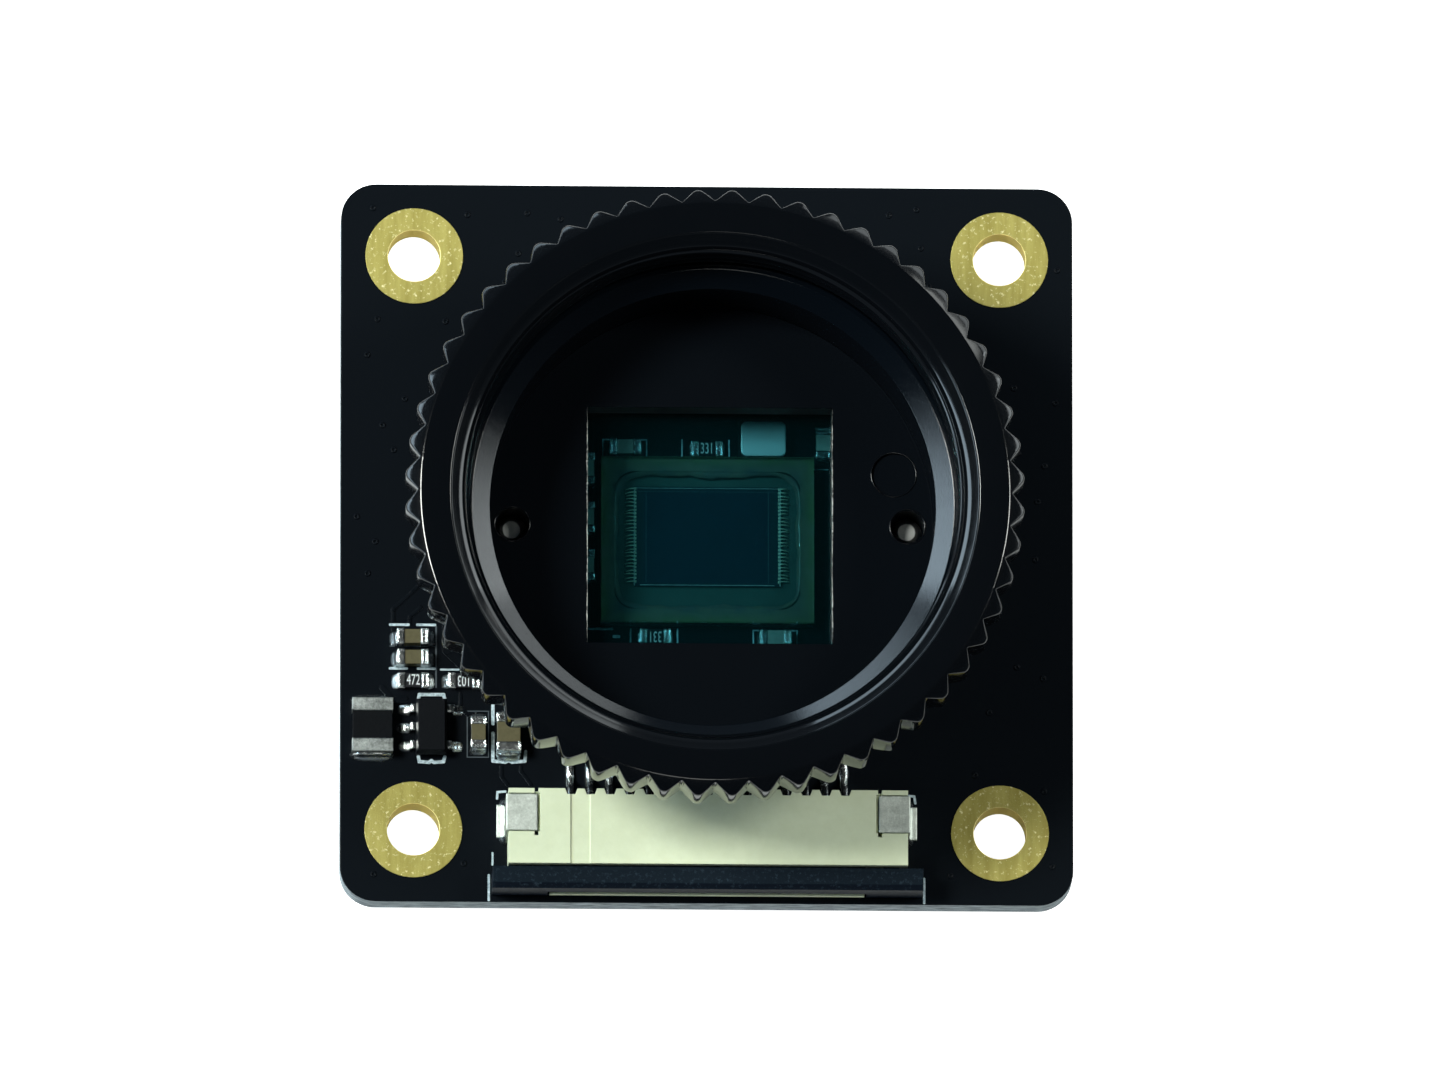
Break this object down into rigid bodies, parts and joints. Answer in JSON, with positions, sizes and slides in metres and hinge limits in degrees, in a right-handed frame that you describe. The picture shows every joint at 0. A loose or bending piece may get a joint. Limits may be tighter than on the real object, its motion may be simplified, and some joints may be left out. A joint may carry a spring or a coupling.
{
  "type": "camera module",
  "caption": "Square board camera: image sensor under a moulded base, knurled back-focus ring with a 1 inch lens thread, and a ribbon connector with a pull-out slider.",
  "frame": {"origin": "centre of the four mounting holes at the board's underside", "axes": "+Z along the optical axis, out of the lens thread; the ribbon connector lies on the -Y side"},
  "size_m": [0.0376, 0.0376, 0.0159],
  "materials": {
    "solder_mask": "black solder mask over glass-fibre laminate, semi-gloss",
    "gold_plating": "gold-plated copper, fine grain",
    "base_plastic": "black moulded plastic, matt floor, satin tube",
    "ring_black": "gloss black with rounded knurls",
    "screw_steel": "zinc-plated steel",
    "filter_glass": "infrared-cut filter with a teal tint",
    "laminate": "green package laminate",
    "silicon": "dark blue-grey silicon",
    "adhesive": "cured adhesive",
    "cover_glass": "clear cover glass",
    "ivory_plastic": "ivory heat-resistant plastic",
    "black_plastic": "blue-black plastic",
    "tinned_metal": "tinned metal",
    "moulding_compound": "black epoxy moulding compound",
    "ferrite": "dark grey ferrite",
    "capacitor_ceramic": "tan brown ceramic",
    "resistor_coat": "black resistor glaze",
    "lid_metal": "plated metal lid"
  },
  "bodies": {
    "camera": {"circuit_board": "solder_mask", "mount_base": "base_plastic", "mount_screws": "screw_steel", "ir_filter": "filter_glass", "sensor_substrate": "laminate", "sensor_die": "silicon", "sensor_dam": "adhesive", "sensor_cover_glass": "cover_glass", "connector_housing": "ivory_plastic", "connector_contacts": "tinned_metal", "connector_anchors": "tinned_metal", "regulator_body": "moulding_compound", "regulator_leads": "tinned_metal", "inductor_body": "ferrite", "inductor_ends": "tinned_metal", "oscillator_base": "moulding_compound", "oscillator_lid": "lid_metal", "mounting_pad_1": "gold_plating", "mounting_pad_2": "gold_plating", "mounting_pad_3": "gold_plating", "mounting_pad_4": "gold_plating", "capacitor_1_body": "capacitor_ceramic", "capacitor_2_body": "capacitor_ceramic", "capacitor_3_body": "capacitor_ceramic", "capacitor_4_body": "capacitor_ceramic", "capacitor_5_body": "capacitor_ceramic", "capacitor_6_body": "capacitor_ceramic", "capacitor_7_body": "capacitor_ceramic", "capacitor_8_body": "capacitor_ceramic", "capacitor_9_body": "capacitor_ceramic", "capacitor_10_body": "capacitor_ceramic", "capacitor_1_ends": "tinned_metal", "capacitor_2_ends": "tinned_metal", "capacitor_3_ends": "tinned_metal", "capacitor_4_ends": "tinned_metal", "capacitor_5_ends": "tinned_metal", "capacitor_6_ends": "tinned_metal", "capacitor_7_ends": "tinned_metal", "capacitor_8_ends": "tinned_metal", "capacitor_9_ends": "tinned_metal", "capacitor_10_ends": "tinned_metal", "resistor_1_body": "resistor_coat", "resistor_2_body": "resistor_coat", "resistor_3_body": "resistor_coat", "resistor_4_body": "resistor_coat", "resistor_1_ends": "tinned_metal", "resistor_2_ends": "tinned_metal", "resistor_3_ends": "tinned_metal", "resistor_4_ends": "tinned_metal"},
    "ring": {"focus_ring": "ring_black"},
    "slider": {"connector_slider": "black_plastic"}
  },
  "joints": [
    {"name": "focus_turn", "type": "hinge", "parent": "camera", "child": "ring", "pos_m": [0, 0, 0.0112], "axis": [0, 0, 1], "range_deg": [-360, 360]},
    {"name": "latch_slide", "type": "slide", "parent": "camera", "child": "slider", "axis": [0, -1, 0], "range_m": [0, 0.0012]}
  ]
}
